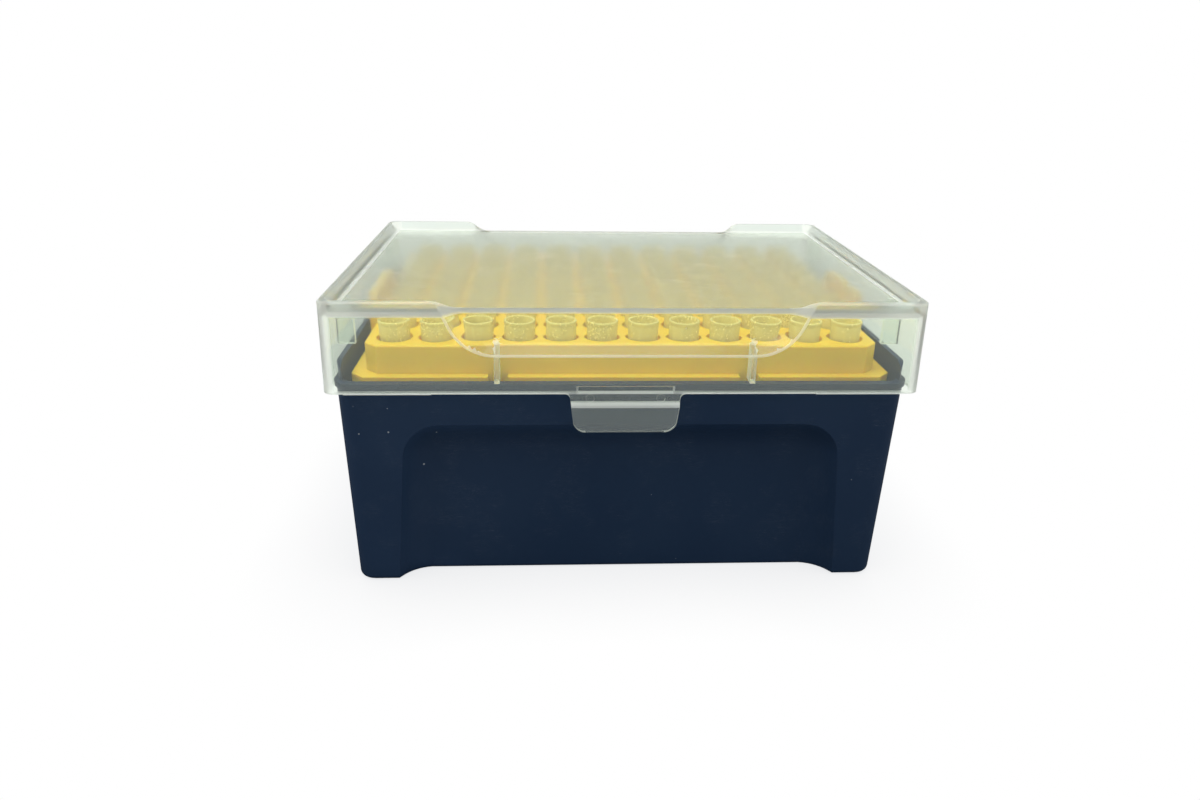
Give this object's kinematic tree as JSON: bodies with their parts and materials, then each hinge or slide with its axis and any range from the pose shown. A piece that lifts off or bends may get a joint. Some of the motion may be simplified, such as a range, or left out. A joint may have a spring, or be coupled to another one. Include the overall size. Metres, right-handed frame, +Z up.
{
  "type": "pipette tip box",
  "caption": "Hinged box with a deep moulded base, a drop-in rack of pipette tips hanging point-down, and a clear lid with a front latch tab.",
  "frame": {"origin": "middle of the base's flat underside, on the surface the box stands on", "axes": "+Z up, +X to the right along the long side, +Y from the latch at the front towards the hinge at the back"},
  "size_m": [0.1264, 0.0932, 0.0672],
  "materials": {
    "base_plastic": "satin navy polypropylene, finely grained",
    "rack_plastic": "smooth deep yellow polypropylene",
    "tip_plastic": "translucent natural polypropylene",
    "lid_plastic": "clear, slightly milky polypropylene"
  },
  "bodies": {
    "base": {"base": "base_plastic", "tip_rack": "rack_plastic", "tips_column_01": "tip_plastic", "tips_column_02": "tip_plastic", "tips_column_03": "tip_plastic", "tips_column_04": "tip_plastic", "tips_column_05": "tip_plastic", "tips_column_06": "tip_plastic", "tips_column_07": "tip_plastic", "tips_column_08": "tip_plastic", "tips_column_09": "tip_plastic", "tips_column_10": "tip_plastic", "tips_column_11": "tip_plastic", "tips_column_12": "tip_plastic"},
    "lid": {"lid": "lid_plastic"}
  },
  "joints": [
    {"name": "lid_hinge", "type": "hinge", "parent": "base", "child": "lid", "pos_m": [0, 0.0464, 0.0485], "axis": [-1, 0, 0], "range_deg": [0, 105]}
  ]
}
